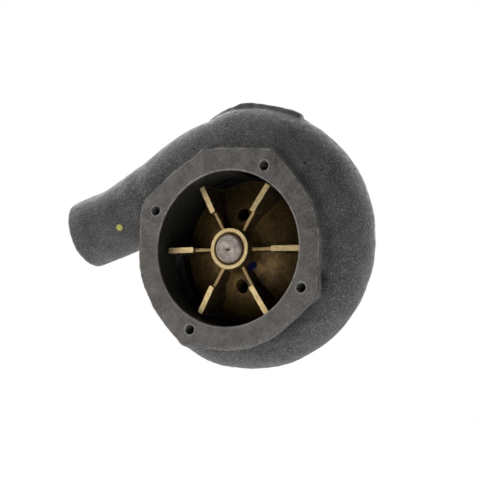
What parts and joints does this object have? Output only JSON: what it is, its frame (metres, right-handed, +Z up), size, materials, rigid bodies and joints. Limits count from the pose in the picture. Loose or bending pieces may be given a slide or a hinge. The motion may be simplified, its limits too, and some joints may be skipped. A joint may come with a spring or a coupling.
{
  "type": "water pump",
  "caption": "Gear-driven engine water pump: cast volute with an open inlet flange, a hose outlet, a bronze impeller on a sealed ball-bearing shaft and a rear drive gear.",
  "frame": {"origin": "where the shaft axis meets the rear mounting face", "axes": "+Y along the shaft towards the engine, +Z up, +X right when looking into the inlet"},
  "size_m": [0.264, 0.153, 0.2084],
  "materials": {
    "cast_iron": "sand cast, bare",
    "bronze": "cast bronze with machined lands",
    "shaft_steel": "turned",
    "seal_brass": "pressed sheet",
    "seal_rubber": "moulded nitrile",
    "ceramic": "lapped",
    "carbon": "lapped carbon graphite",
    "bearing_steel": "ground and polished",
    "sheet_steel": "pressed",
    "cage_brass": "machined",
    "spring_steel": "oil blackened",
    "gear_steel": "hobbed, oiled"
  },
  "bodies": {
    "housing": {"volute": "cast_iron", "inlet_flange": "cast_iron", "outlet_duct": "cast_iron", "bearing_housing": "cast_iron", "mounting_flange": "cast_iron", "water_seal_shell": "seal_brass", "water_seal_bellows": "seal_rubber", "water_seal_spring": "spring_steel", "oil_seal_case": "sheet_steel", "oil_seal_lip": "seal_rubber", "oil_seal_garter_spring": "spring_steel", "front_bearing_outer_race": "bearing_steel", "rear_bearing_outer_race": "bearing_steel", "outer_spacer": "sheet_steel", "bearing_circlip": "spring_steel", "pilot_o_ring": "seal_rubber"},
    "rotor": {"impeller": "bronze", "impeller_blades": "bronze", "pump_shaft": "shaft_steel", "seal_seat_cup": "seal_rubber", "ceramic_seat": "ceramic", "water_slinger": "seal_rubber", "front_bearing_inner_race": "bearing_steel", "rear_bearing_inner_race": "bearing_steel", "inner_spacer": "sheet_steel", "drive_gear": "gear_steel", "gear_key": "shaft_steel", "gear_lock_washer": "sheet_steel", "gear_nut": "gear_steel"},
    "front_ball_set": {"front_bearing_balls": "bearing_steel", "front_bearing_cage": "cage_brass"},
    "rear_ball_set": {"rear_bearing_balls": "bearing_steel", "rear_bearing_cage": "cage_brass"},
    "seal_ring": {"carbon_seal_ring": "carbon"}
  },
  "joints": [
    {"name": "rotor_spin", "type": "hinge", "parent": "housing", "child": "rotor", "pos_m": [0, 0, 0], "axis": [0, 1, 0], "continuous": true},
    {"name": "front_ball_orbit", "type": "hinge", "parent": "housing", "child": "front_ball_set", "pos_m": [0, -0.0065, 0], "axis": [0, 1, 0], "continuous": true},
    {"name": "rear_ball_orbit", "type": "hinge", "parent": "housing", "child": "rear_ball_set", "pos_m": [0, 0.0173, 0], "axis": [0, 1, 0], "continuous": true},
    {"name": "seal_ring_float", "type": "slide", "parent": "housing", "child": "seal_ring", "axis": [0, 1, 0], "range_m": [0, 0.0006], "stiffness_N_per_m": 2000, "springref_m": -0.008, "deforming": ["water_seal_spring", "water_seal_bellows"]}
  ],
  "couplings": [
    {"joint": "front_ball_orbit", "follows": "rotor_spin", "ratio": 0.3974},
    {"joint": "rear_ball_orbit", "follows": "rotor_spin", "ratio": 0.4201}
  ]
}
